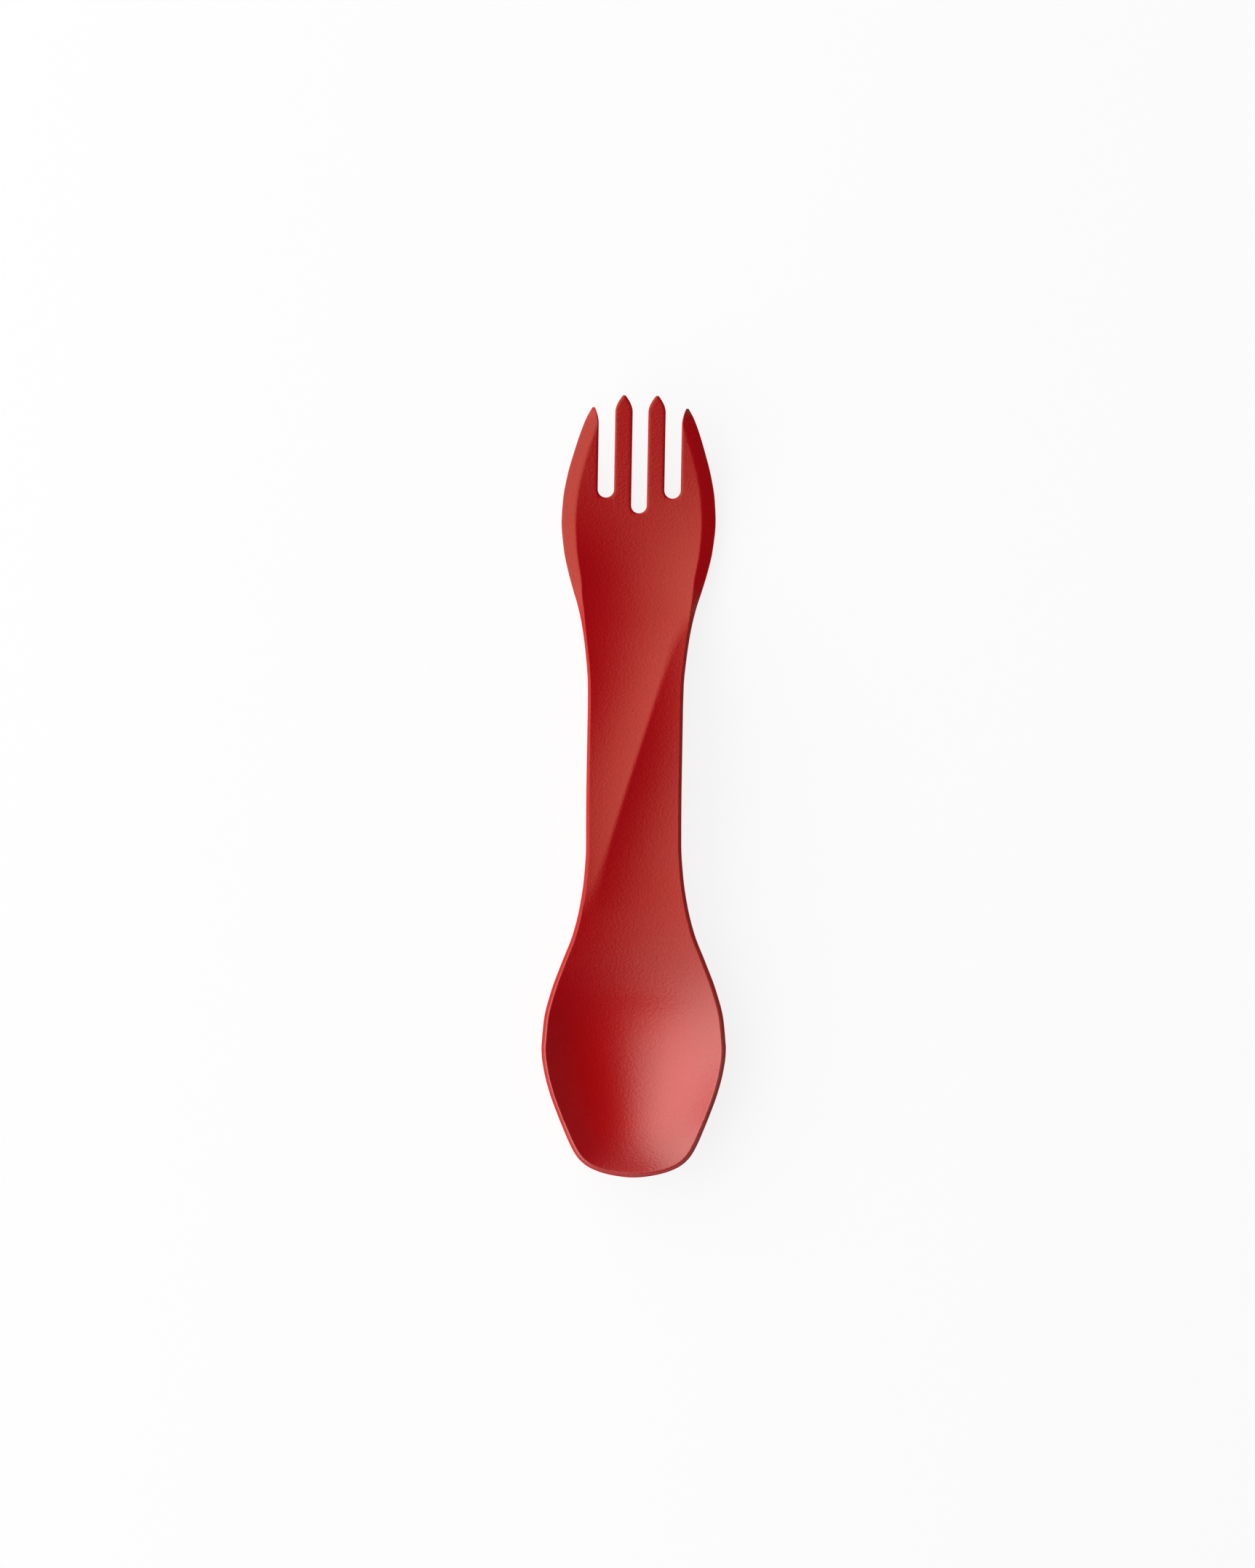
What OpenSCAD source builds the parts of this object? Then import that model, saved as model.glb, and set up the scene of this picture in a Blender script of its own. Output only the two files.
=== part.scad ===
// Double-ended spork, moulded in one piece: a spoon bowl, a handle and a four-tined fork.
// It lies on its back along Y with both hollows up: bowl tip at -Y, tine tips at +Y.
// Stations along the part are distances from the bowl tip.
// Across each station the outline edge carries a sloping flank, and the hollow dips between
// the creases at the tops of the two flanks. On the handle the hollow of the fork (left) and
// the hollow of the bowl (right) meet in a ridge that crosses from one edge to the other.

/* [Overall] */
// Length from the bowl tip to the tine tips
length = 160; // [150:1:200]
// Width of the handle
handle_width = 19.5; // [14:0.5:26]
// Height of the handle's top edges above the surface that the part lies on
handle_height = 14; // [11:0.5:20]
// Wall at the bottom of the bowl and at the root of the fork
wall = 2.1; // [1.5:0.1:3]
// Wall at the middle of the handle
handle_wall = 3; // [2.2:0.1:4.5]

/* [Edge] */
// Height of the flank between the parting line and the crease
flank_height = 1.3; // [0.8:0.1:2]
// Plan width of the flank along the handle
handle_flank = 0.5; // [0.3:0.05:1]
// Height of the narrow upright land at the parting line
edge_land = 0.3; // [0.2:0.05:0.6]

/* [Bowl] */
// Greatest width of the bowl
bowl_width = 37.8; // [30:0.2:44]
// Distance from the bowl tip to the straight of the handle
bowl_length = 68; // [60:1:74]
// Distance from the bowl tip to the widest station
bowl_belly = 26.7; // [24:0.1:30]
// Depth of the bowl below its rim
bowl_depth = 8; // [5:0.25:11]
// Plan width of the flank along the rim of the bowl
bowl_flank = 0.8; // [0.4:0.05:1.2]
// Height of the rim at the bowl tip above the lowest part of the rim
tip_lift = 0.8; // [0:0.1:2]

/* [Fork] */
// Greatest width of the fork
fork_width = 31.6; // [28:0.2:38]
// Distance from the tine tips back to the straight of the handle
fork_length = 65; // [60:1:72]
// Distance from the tine tips back to the widest station
fork_belly = 25.7; // [24:0.1:28]
// Greatest depth of the fork's hollow, behind its tines
fork_depth = 2.2; // [1:0.1:4]
// Plan width of the flank along the outer tines
fork_flank = 2.85; // [2:0.05:3.4]
// Height that the tine tips rise above the belly of the fork
tine_rise = 9; // [5:0.5:14]
// Wall at the tips of the tines
tip_wall = 1.5; // [1.1:0.1:2.2]
// Angle by which the fork head leans away from the line of the bowl, in degrees
fork_lean = 1; // [0:0.1:2]

/* [Tines] */
// Width of an inner tine
tine_width = 3.56; // [2.8:0.02:4]
// Width of the slot between the inner tines
middle_slot = 3.2; // [2.6:0.05:3.6]
// Width of the two outer slots
outer_slot = 3.34; // [2.6:0.02:3.6]
// Distance from the tine tips to the bottom of the middle slot
middle_slot_depth = 23.9; // [22:0.1:26]
// Distance from the tine tips to the bottom of the outer slots
outer_slot_depth = 20.8; // [18:0.1:21.5]
// How far the outer tips stay behind the inner tips
outer_setback = 2.5; // [1:0.1:4]
// Length of the pointed end of a tine
point_length = 3.3; // [2:0.1:5]
// Width of the blunt end of the point
point_width = 0.5; // [0.3:0.05:1]

/* [Ridge] */
// Height of the ridge above the handle's edges, halfway along it
ridge_rise = 1.1; // [0:0.1:2]
// Depth of the hollow where the ridge meets the left edge
bowl_hollow = 1.35; // [0.5:0.05:2]
// Depth of the hollow where the ridge meets the right edge
fork_hollow = 1.9; // [0.5:0.05:2.4]
// Distance from the bowl tip to the ridge's end at the left edge
ridge_from_bowl = 54; // [50:0.5:60]
// Distance from the tine tips to the ridge's end at the right edge
ridge_from_tines = 45; // [42:0.5:52]

/* [Hidden] */
plastic_red = [0.72, 0.03, 0.05];

bowl_half = bowl_width / 2;
fork_half = fork_width / 2;
handle_half = handle_width / 2;
handle_start = bowl_length;
handle_end = length - fork_length;
handle_middle = (handle_start + handle_end) / 2;
fork_middle = length - fork_belly;
outer_tip = length - outer_setback;
ridge_start = ridge_from_bowl;
ridge_end = length - ridge_from_tines;
ridge_length = ridge_end - ridge_start;

// Lowest station of the bowl's rim, as a share of the way to its widest station
bowl_low_share = 0.85;
// Distance of the fork's lowest station behind its widest one, as a share of the fork's belly
fork_low_share = 0.2;
// Share of the fork's depth that its rim keeps above the underside's lowest point
fork_rim_share = 0.96;
// Share of the tip's lift that is left halfway to the lowest station of the bowl's rim
front_lift_share = 0.25;
// Where the flank starts to widen, between the handle and the ridge's end
flank_start_share = 0.75;
// Share of the ridge's length over which it fades out at either end
ridge_fade_share = 0.12;
// Share of the way to the middle slot over which the columns gather beside the slots
head_run_share = 0.625;
// Least share of an outer tine that its flank leaves to the hollow
head_crease_share = 0.15;
// Station where the front of the bowl turns into its sides, as a share of the belly
corner_share = 0.14;
// Spacing of the first rows of the bowl, as a share of the average spacing
first_row_share = 0.6;
// Reach of the rows that bend round a slot's root, as a share of the root's radius
root_bend_share = 4;
// Length and start of the lean, as shares of the handle's half width
lean_run_share = 1.2;
lean_start_share = 0.2;
// How full the pointed ends of the tines are
point_power = 1.8;
// Halvings in the search for a place along the front of the bowl
halvings = 24;

// Half width of the bowl from its tip to its widest station. The first number is the root of the
// share of the distance, so that the round end leaves the tip square to the length.
bowl_front_shares = [
    [0, 0], [0.1, 0.172], [0.2, 0.358], [0.3, 0.511], [0.4, 0.615], [0.5, 0.688],
    [0.6, 0.756], [0.7, 0.83], [0.8, 0.907], [0.9, 0.97], [0.97, 0.997], [1, 1]
];
// From the widest station of the bowl to the straight of the handle
bowl_neck_shares = [
    [0, 1], [0.14, 0.94], [0.28, 0.777], [0.42, 0.541], [0.56, 0.295], [0.7, 0.138],
    [0.84, 0.045], [1, 0]
];
// From the straight of the handle to the widest station of the fork
fork_shoulder_shares = [
    [0, 0], [0.15, 0.014], [0.3, 0.099], [0.45, 0.241], [0.55, 0.388], [0.65, 0.587],
    [0.75, 0.769], [0.85, 0.908], [1, 1]
];
// From there to the outer tips
fork_tip_shares = [
    [0.2, 0.984], [0.4, 0.934], [0.6, 0.855], [0.8, 0.761], [0.92, 0.69], [1, 0.623]
];
// Depth of the bowl from its front crease to the ridge's end
bowl_depth_shares = [
    [0, 0], [0.05, 0.26], [0.1, 0.47], [0.18, 0.74], [0.27, 0.93], [0.37, 1], [0.48, 0.92],
    [0.6, 0.7], [0.72, 0.4], [0.85, 0.22]
];
// Depth of the fork's hollow from the ridge's end to the tine tips
fork_depth_shares = [
    [0.12, 0.97], [0.22, 1], [0.31, 0.88], [0.5, 0.47], [0.68, 0.16], [1, 0.03]
];
// Flank width from the ridge's end to the widest station of the fork
flank_shares = [[0.15, 0.3], [0.4, 0.77], [0.8, 0.95]];
// Height of the creases between their lowest station in the bowl and the handle
bowl_climb_shares = [[0.25, 0.08], [0.5, 0.36], [0.75, 0.75]];
// Height of the creases between the handle and the belly of the fork
fork_drop_shares = [[0.2, 0.93], [0.45, 0.62], [0.7, 0.23], [0.85, 0.06]];
// Rise of the tines from the belly of the fork to their tips
tine_rise_shares = [[0.25, 0.05], [0.5, 0.27], [0.75, 0.61], [1, 1]];

// Smooth curve through stations [place, value], level wherever the values turn
function rate(st, k) = (st[k + 1][1] - st[k][1]) / (st[k + 1][0] - st[k][0]);
function slope(st, k) =
    k == 0 ? rate(st, 0)
    : k == len(st) - 1 ? rate(st, k - 1)
    : let(a = rate(st, k - 1), b = rate(st, k)) a * b <= 0 ? 0 : 2 * a * b / (a + b);
function span(st, t, k = 0) = k >= len(st) - 2 || t < st[k + 1][0] ? k : span(st, t, k + 1);
function along(st, t) =
    let(
        k = span(st, t),
        run = st[k + 1][0] - st[k][0],
        s = min(1, max(0, (t - st[k][0]) / run)),
        a = st[k][1],
        b = st[k + 1][1]
    )
    a + (b - a) * (3 - 2 * s) * s * s
    + run * s * (1 - s) * (slope(st, k) * (1 - s) - slope(st, k + 1) * s);
function between(shares, place, run, low, high) =
    [for (s = shares) [place + run * s[0], low + (high - low) * s[1]]];
function mix(a, b, t) = a + (b - a) * t;
function step_up(t) = let(s = min(1, max(0, t))) s * s * (3 - 2 * s);

// Outline
outline = concat(
    between(bowl_neck_shares, bowl_belly, bowl_length - bowl_belly, handle_half, bowl_half),
    between(fork_shoulder_shares, handle_end, fork_middle - handle_end, handle_half, fork_half),
    between(fork_tip_shares, fork_middle, outer_tip - fork_middle, 0, fork_half)
);
function half_width(d) =
    d < bowl_belly
    ? bowl_half * along(bowl_front_shares, sqrt(max(0, d) / bowl_belly))
    : along(outline, d);
// Distance from the tip at which the front of the bowl is as wide as 2x
function front(x, low = 0, high = bowl_belly, left = halvings) =
    left == 0 ? low
    : let(d = (low + high) / 2)
      half_width(d) < abs(x) ? front(x, d, high, left - 1) : front(x, low, d, left - 1);

// Plan width of the flank, and half width between the creases
flanks = concat(
    [[bowl_belly, bowl_flank], [bowl_length, handle_flank], [handle_end, handle_flank],
     [mix(handle_end, ridge_end, flank_start_share), handle_flank]],
    between(flank_shares, ridge_end, fork_middle - ridge_end, handle_flank, fork_flank),
    [[fork_middle, fork_flank], [length, fork_flank]]
);
function flank(d) = along(flanks, d);
function crease_half(d) = half_width(d) - flank(d);

// Height of the creases above the surface that the part lies on
bowl_low = bowl_belly * bowl_low_share;
fork_low = fork_middle - fork_belly * fork_low_share;
bowl_rim = bowl_depth + wall;
fork_rim = fork_depth * fork_rim_share + wall;
creases = concat(
    [[0, bowl_rim + tip_lift], [bowl_low / 2, bowl_rim + tip_lift * front_lift_share],
     [bowl_low, bowl_rim]],
    between(bowl_climb_shares, bowl_low, handle_middle - bowl_low, bowl_rim, handle_height),
    [[handle_middle, handle_height]],
    between(fork_drop_shares, handle_middle, fork_low - handle_middle, fork_rim, handle_height),
    [[fork_low, fork_rim]],
    between(tine_rise_shares, fork_low, length - fork_low, fork_rim, fork_rim + tine_rise)
);
function crease_z(d) = along(creases, d);
function parting_z(d) = crease_z(d) - flank_height;

// Depth of the hollow at the middle of a station outside the ridge
hollows = concat(
    between(bowl_depth_shares, bowl_flank, ridge_start - bowl_flank, 0, bowl_depth),
    [[ridge_start, bowl_hollow], [ridge_end, fork_hollow]],
    between(fork_depth_shares, ridge_end, length - ridge_end, 0, fork_depth)
);
function hollow(x, d) = 1 - pow(min(1, abs(x) / crease_half(d)), 2);

// The ridge runs straight across the handle, and turns to the creases only where it fades out
ridge_reach = handle_half - handle_flank;
function ridge_share(d) = (d - ridge_start) / ridge_length;
function ridge_place(d) = 2 * ridge_share(d) - 1;
function ridge_at(d) =
    let(end = min(ridge_share(d), 1 - ridge_share(d)))
    ridge_place(d) * mix(crease_half(d), ridge_reach, step_up(end / ridge_fade_share));
function arch(d) = pow(cos(90 * ridge_place(d)), 2);
function side_hollow(d) = mix(bowl_hollow, fork_hollow, ridge_share(d));

// Top surface: one hollow outside the ridge, and on the handle two that share the ridge as an edge
function panel_z(x, from_x, from_z, to_x, to_z, full, depth) =
    let(u = (x - from_x) / (to_x - from_x), part = (to_x - from_x) / full)
    mix(from_z, to_z, u) - 4 * depth * part * part * u * (1 - u);
function top_z(x, d) =
    d <= ridge_start || d >= ridge_end
    ? crease_z(d) - along(hollows, d) * hollow(x, d)
    : let(
          side = crease_half(d),
          at = ridge_at(d),
          edge = crease_z(d),
          peak = edge + ridge_rise * arch(d),
          depth = side_hollow(d)
      )
      x < at
      ? panel_z(x, -side, edge, at, peak, 2 * side, depth)
      : panel_z(x, at, peak, side, edge, 2 * side, depth);

// Underside: the top without its ridge, one wall lower
walls = [
    [0, wall], [bowl_belly, wall], [handle_start, handle_wall], [handle_end, handle_wall],
    [fork_low, wall], [length, tip_wall]
];
function under_z(x, d) =
    let(
        on_handle = d > ridge_start && d < ridge_end,
        dip = on_handle ? mix(side_hollow(d), -ridge_rise, arch(d)) : along(hollows, d)
    )
    crease_z(d) - dip * hollow(x, d) - along(walls, d);

// Grid: the columns run along the part, the rows across it. Beside the slots a column follows
// each slot wall, and on the handle the ridge steps one column a row.
flank_cells = 2;
outer_cells = 4;
slot_cells = 4;
tine_cells = 3;
group_cells = [flank_cells, outer_cells, slot_cells, tine_cells, slot_cells, tine_cells,
               slot_cells, outer_cells, flank_cells];
left_slot_group = 2;
middle_slot_group = 4;
right_slot_group = 6;
function sum_to(k) = k == 0 ? 0 : group_cells[k - 1] + sum_to(k - 1);
group_start = [for (k = [0:len(group_cells)]) sum_to(k)];
columns = group_start[len(group_cells)];
hollow_cells = columns - 2 * flank_cells;
function group_of(i, k = 0) = i < group_start[k + 1] || k == len(group_cells) - 1
    ? k : group_of(i, k + 1);

middle_half = middle_slot / 2;
outer_half = outer_slot / 2;
slot_place = middle_half + tine_width + outer_half;
middle_root = length - middle_slot_depth + middle_half;
outer_root = length - outer_slot_depth + outer_half;
point_half = point_width / 2;
tine_place = middle_half + tine_width / 2;

// Half width of an inner tine, and inner edge of an outer tine, towards their points
function pointed(t) = t >= 1 ? 1 : 1 - pow(1 - max(0, t), point_power);
function tine_half(d) = mix(point_half, tine_width / 2, pointed((length - d) / point_length));
function outer_edge(d) =
    mix(half_width(outer_tip) - point_width, slot_place + outer_half,
        pointed((outer_tip - d) / point_length));

// Lines that bound the groups of columns, from left to right
function head_lines(d) =
    let(
        edge = half_width(d),
        slot_edge = outer_edge(d),
        crease = max(crease_half(d), mix(slot_edge, edge, head_crease_share)),
        half = tine_half(d)
    )
    [-edge, -crease, -slot_edge, -tine_place - half, -tine_place + half,
     tine_place - half, tine_place + half, slot_edge, crease, edge];
// Away from the slots the columns are evenly spread between the creases. Those on either side
// of the ridge are spread over what it leaves them.
function bent(x, d) =
    d <= ridge_start || d >= ridge_end ? x
    : let(side = crease_half(d), even = side * ridge_place(d), at = ridge_at(d))
      x < even
      ? mix(-side, at, (x + side) / (even + side))
      : mix(at, side, (x - even) / (side - even));
function even_x(i, d) =
    let(
        edge = half_width(d),
        crease = crease_half(d),
        u = (i - flank_cells) / hollow_cells
    )
    u < 0 ? mix(-edge, -crease, i / flank_cells)
    : u > 1 ? mix(edge, crease, (columns - i) / flank_cells)
    : bent(mix(-crease, crease, u), d);
function in_slot(k) = k == left_slot_group || k == middle_slot_group || k == right_slot_group;
function column_x(i, d) =
    let(
        k = group_of(i),
        u = (i - group_start[k]) / group_cells[k],
        run = (middle_root - ridge_end) * head_run_share,
        slotted = head_lines(d),
        u_head = in_slot(k) ? (1 - cos(180 * u)) / 2 : u
    )
    mix(even_x(i, d), mix(slotted[k], slotted[k + 1], u_head), step_up((d - ridge_end) / run));

// Rows, as their stations at the outline
corner = bowl_belly * corner_share;
bowl_rows = 22;
fork_rows = 10;
root_rows = 2;
point_shares = [0.16, 0.32, 0.48, 0.62, 0.74, 0.82, 0.88, 0.92, 0.955, 0.98, 1];
first_hollow = corner + bowl_flank;
rows = concat(
    [for (j = [0:flank_cells]) corner + bowl_flank * j / flank_cells],
    [for (j = [1:bowl_rows])
        mix(first_hollow, ridge_start, j / bowl_rows * mix(first_row_share, 1, j / bowl_rows))],
    [for (j = [1:hollow_cells]) ridge_start + ridge_length * j / hollow_cells],
    [for (j = [1:fork_rows]) mix(ridge_end, middle_root, j / fork_rows)],
    [for (j = [1:root_rows]) mix(middle_root, outer_root, j / root_rows)]
);
middle_row = len(rows) - 1 - root_rows;
outer_row = len(rows) - 1;
last_row = outer_row + len(point_shares);

// The front rows bend round the bowl tip, and the rows at a slot's root round its bottom
function front_shift(x, j) =
    max(0, corner - front(x)) * (1 - step_up((rows[j] - first_hollow) / bowl_belly));
function root_shift(i, j) =
    let(
        k = group_of(i),
        u = (i - group_start[k]) / group_cells[k],
        radius = k == middle_slot_group ? middle_half : outer_half,
        root = k == middle_slot_group ? middle_root : outer_root,
        fade = 1 - (root - rows[j]) / (root_bend_share * radius)
    )
    in_slot(k) && fade > 0 && fade <= 1 ? radius * sin(180 * u) * fade * fade : 0;
function plan(i, j) =
    j <= outer_row
    ? let(x = column_x(i, rows[j]))
      [x, rows[j] - (rows[j] < ridge_start ? front_shift(x, j) : root_shift(i, j))]
    : let(
          left_wall = group_start[left_slot_group],
          right_wall = group_start[right_slot_group + 1],
          outer = i <= left_wall || i >= right_wall,
          d = mix(outer_root, outer ? outer_tip : length, point_shares[j - outer_row - 1])
      )
      [column_x(i, d), d];

// The head leans: from the middle of the handle on, stations turn and drift towards +X
lean_run = handle_half * lean_run_share;
lean_start = handle_start + handle_half * lean_start_share;
function leaned(p) =
    let(
        t = min(1, max(0, (p[1] - lean_start) / lean_run)),
        turn = fork_lean * t,
        beyond = max(0, p[1] - lean_start - lean_run)
    )
    [p[0] * cos(turn) + tan(fork_lean) * (lean_run * t * t / 2 + beyond),
     p[1] - p[0] * sin(turn)];

// Points of the grid
function ring(i, j) = min(i, columns - i, j, flank_cells) / flank_cells;
function inside(i, j) =
    plan(min(columns - flank_cells, max(flank_cells, i)), max(flank_cells, j));
function top_point(i, j) =
    let(
        p = plan(i, j),
        q = inside(i, j),
        r = ring(i, j),
        z = r < 1 ? mix(parting_z(p[1]) + edge_land / 2, top_z(q[0], q[1]), r) : top_z(p[0], p[1])
    )
    concat(leaned(p), z);
function low_point(i, j) =
    let(
        p = plan(i, j),
        q = inside(i, j),
        r = ring(i, j),
        z = mix(parting_z(p[1]) - edge_land / 2, under_z(q[0], q[1]), sqrt(r * (2 - r)))
    )
    concat(leaned(p), z);

// A cell is open where a slot runs through it
function is_open(i, j) =
    i < 0 || j < 0 || i >= columns || j >= last_row
    || (in_slot(group_of(i)) && j >= (group_of(i) == middle_slot_group ? middle_row : outer_row));
function spot(i, j, low = 0) = (i + j * (columns + 1)) * 2 + low;

module spork() {
    points = [
        for (j = [0:last_row]) for (i = [0:columns]) for (low = [0, 1])
            low == 0 ? top_point(i, j) : low_point(i, j)
    ];
    faces = [
        for (j = [0:last_row - 1]) for (i = [0:columns - 1]) if (!is_open(i, j))
            each concat(
                [[spot(i, j), spot(i, j + 1), spot(i + 1, j + 1)],
                 [spot(i, j), spot(i + 1, j + 1), spot(i + 1, j)],
                 [spot(i, j, 1), spot(i + 1, j + 1, 1), spot(i, j + 1, 1)],
                 [spot(i, j, 1), spot(i + 1, j, 1), spot(i + 1, j + 1, 1)]],
                is_open(i - 1, j)
                ? [[spot(i, j), spot(i, j, 1), spot(i, j + 1, 1)],
                   [spot(i, j), spot(i, j + 1, 1), spot(i, j + 1)]] : [],
                is_open(i + 1, j)
                ? [[spot(i + 1, j + 1), spot(i + 1, j + 1, 1), spot(i + 1, j, 1)],
                   [spot(i + 1, j + 1), spot(i + 1, j, 1), spot(i + 1, j)]] : [],
                is_open(i, j - 1)
                ? [[spot(i + 1, j), spot(i + 1, j, 1), spot(i, j, 1)],
                   [spot(i + 1, j), spot(i, j, 1), spot(i, j)]] : [],
                is_open(i, j + 1)
                ? [[spot(i, j + 1), spot(i, j + 1, 1), spot(i + 1, j + 1, 1)],
                   [spot(i, j + 1), spot(i + 1, j + 1, 1), spot(i + 1, j + 1)]] : []
            )
    ];
    color(plastic_red)
        translate([0, -length / 2, 0])
            polyhedron(points = points, faces = faces, convexity = 6);
}

spork();
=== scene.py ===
"""Double-ended spork in red moulded plastic, lying with its hollows up on a white surface."""
import math
import bmesh
import bpy
import numpy as np
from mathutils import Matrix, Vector


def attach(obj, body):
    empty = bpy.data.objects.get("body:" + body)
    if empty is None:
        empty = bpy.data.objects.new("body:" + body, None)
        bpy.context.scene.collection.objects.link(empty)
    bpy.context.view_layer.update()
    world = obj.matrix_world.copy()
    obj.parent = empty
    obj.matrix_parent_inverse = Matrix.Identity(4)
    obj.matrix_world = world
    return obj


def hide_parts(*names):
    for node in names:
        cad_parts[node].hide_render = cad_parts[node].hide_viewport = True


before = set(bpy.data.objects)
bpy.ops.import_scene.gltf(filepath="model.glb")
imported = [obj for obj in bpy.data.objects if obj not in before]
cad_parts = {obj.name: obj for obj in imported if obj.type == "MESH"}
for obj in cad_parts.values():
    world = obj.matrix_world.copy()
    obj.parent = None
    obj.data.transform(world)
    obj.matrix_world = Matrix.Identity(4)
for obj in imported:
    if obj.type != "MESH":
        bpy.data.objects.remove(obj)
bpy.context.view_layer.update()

MM = 0.001

# Sizes of the part in millimetres; stations are distances from the bowl tip
LENGTH = 160
BOWL_HALF = 18.9
FORK_HALF = 15.8
HANDLE_HALF = 9.75
HANDLE_HEIGHT = 14
HANDLE_START = 68
HANDLE_END = 95
BOWL_BELLY = 26.7
BOWL_DEPTH = 8
TIP_LIFT = 0.8
FORK_MIDDLE = 134.3
FORK_DEPTH = 2.2
TINE_RISE = 9
FORK_LEAN = math.radians(1)

# Walls, and the sloping flank that runs round the edge
WALL = 2.1
HANDLE_WALL = 3
TIP_WALL = 1.5
FLANK_HEIGHT = 1.3
BOWL_FLANK = 0.8
HANDLE_FLANK = 0.5
FORK_FLANK = 2.85

# Tines and slots; each slot has its place, half its width and the station of its root
TINE_WIDTH = 3.56
MIDDLE_SLOT_HALF = 1.6
OUTER_SLOT_HALF = 1.67
MIDDLE_ROOT = 137.7
OUTER_ROOT = 140.87
OUTER_TIP = 157.5
POINT_LENGTH = 3.3
POINT_HALF = 0.25
POINT_POWER = 1.8
TINE_PLACE = MIDDLE_SLOT_HALF + TINE_WIDTH / 2
SLOT_PLACE = MIDDLE_SLOT_HALF + TINE_WIDTH + OUTER_SLOT_HALF
SLOTS = (
    (-SLOT_PLACE, OUTER_SLOT_HALF, OUTER_ROOT),
    (0, MIDDLE_SLOT_HALF, MIDDLE_ROOT),
    (SLOT_PLACE, OUTER_SLOT_HALF, OUTER_ROOT),
)

# The ridge across the handle, and the depth of the hollow at either end of it
RIDGE_START = 54
RIDGE_END = 115
RIDGE_RISE = 1.1
BOWL_HOLLOW = 1.35
FORK_HOLLOW = 1.9

# Roundings of the outer edge and of the slot walls
EDGE_ROUND = 0.15
SLOT_ROUND = 0.45
# Softness of the ridge, and of the creases on the fork and round the bowl
RIDGE_SOFT = 0.22
CREASE_SOFT = 0.16
BOWL_CREASE_SOFT = 0.5
# How many times its softness the ridge gains at its ends, and the power at which it gains it
RIDGE_END_GAIN = 2
RIDGE_END_POWER = 4

# Lowest station of the bowl's rim, as a share of the way to its widest station
BOWL_LOW_SHARE = 0.85
# Distance of the fork's lowest station behind its widest one, as a share of what lies beyond that
FORK_LOW_SHARE = 0.2
# Share of the fork's depth that its rim keeps above the underside's lowest point
FORK_RIM_SHARE = 0.96
# Share of the tip's lift that is left halfway to the lowest station of the bowl's rim
FRONT_LIFT_SHARE = 0.25
# Where the flank starts to widen, between the end of the handle and the ridge's end
FLANK_START_SHARE = 0.75
# Share of the ridge's length over which it fades out at either end
RIDGE_FADE_SHARE = 0.12
# Run and start of the fork's lean, as shares of the handle's half width
LEAN_RUN_SHARE = 1.2
LEAN_START_SHARE = 0.2

# Shares of the sizes above along the part, each a pair of place and value
BOWL_FRONT = (
    (0, 0), (0.1, 0.172), (0.2, 0.358), (0.3, 0.511), (0.4, 0.615), (0.5, 0.688),
    (0.6, 0.756), (0.7, 0.83), (0.8, 0.907), (0.9, 0.97), (0.97, 0.997), (1, 1),
)
BOWL_NECK = (
    (0, 1), (0.14, 0.94), (0.28, 0.777), (0.42, 0.541), (0.56, 0.295), (0.7, 0.138),
    (0.84, 0.045), (1, 0),
)
FORK_SHOULDER = (
    (0, 0), (0.15, 0.014), (0.3, 0.099), (0.45, 0.241), (0.55, 0.388), (0.65, 0.587),
    (0.75, 0.769), (0.85, 0.908), (1, 1),
)
FORK_TIP = ((0.2, 0.984), (0.4, 0.934), (0.6, 0.855), (0.8, 0.761), (0.92, 0.69), (1, 0.623))
BOWL_DEPTHS = (
    (0, 0), (0.05, 0.26), (0.1, 0.47), (0.18, 0.74), (0.27, 0.93), (0.37, 1), (0.48, 0.92),
    (0.6, 0.7), (0.72, 0.4), (0.85, 0.22),
)
FORK_DEPTHS = ((0.12, 0.97), (0.22, 1), (0.31, 0.88), (0.5, 0.47), (0.68, 0.16), (1, 0.03))
FLANK_SPREAD = ((0.15, 0.3), (0.4, 0.77), (0.8, 0.95))
BOWL_CLIMB = ((0.25, 0.08), (0.5, 0.36), (0.75, 0.75))
FORK_DROP = ((0.2, 0.93), (0.45, 0.62), (0.7, 0.23), (0.85, 0.06))
RISE = ((0.25, 0.05), (0.5, 0.27), (0.75, 0.61), (1, 1))

# Widths of the bells that soften the curves along the part, and how finely and far a bell reaches
FLANK_EASE = 1.0
CREASE_EASE = 2.0
HOLLOW_EASE = 1.2
WALL_EASE = 2.0
BELL_STEPS = 12
BELL_REACH = 3

# Lines across the edge strip: shares of the rounded edge, of the flank and of the crease beyond it
EDGE_LINES = (0, 0.12, 0.35, 0.7, 1)
FLANK_LINES = (0.2, 0.4, 0.6, 0.8, 0.92, 1)
CREASE_LINES = (0.15, 0.35, 0.65, 1)
CREASE_REACH = 0.6
# Most of an outer tine's width that its flank, and its whole edge strip, may take
HEAD_FLANK_SHARE = 0.92
HEAD_STRIP_SHARE = 0.9

# Columns: lines beside a slot wall as shares of its rounding, and numbers of cells
SLOT_LINE_SHARES = (0, 0.12, 0.32, 0.62, 1)
SLOT_CELLS = 12
TINE_CELLS = 5
OUTER_CELLS = 6
# Part of the way from the ridge's end to the middle slot over which columns gather beside the slots
HEAD_RUN_SHARE = 0.625

# Where the strip round the bowl's front ends, and over what the side strips' lines then turn
# straight across, as shares of the bowl's belly
CORNER_SHARE = 0.14
TURN_SHARE = 0.3
# Spacing of the rows: of the first ones, of those along the ridge and of the others
FRONT_ROWS = 8
FRONT_SPACING = 0.25
RIDGE_SPACING = 0.7
ROW_SPACING = 0.6
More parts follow.
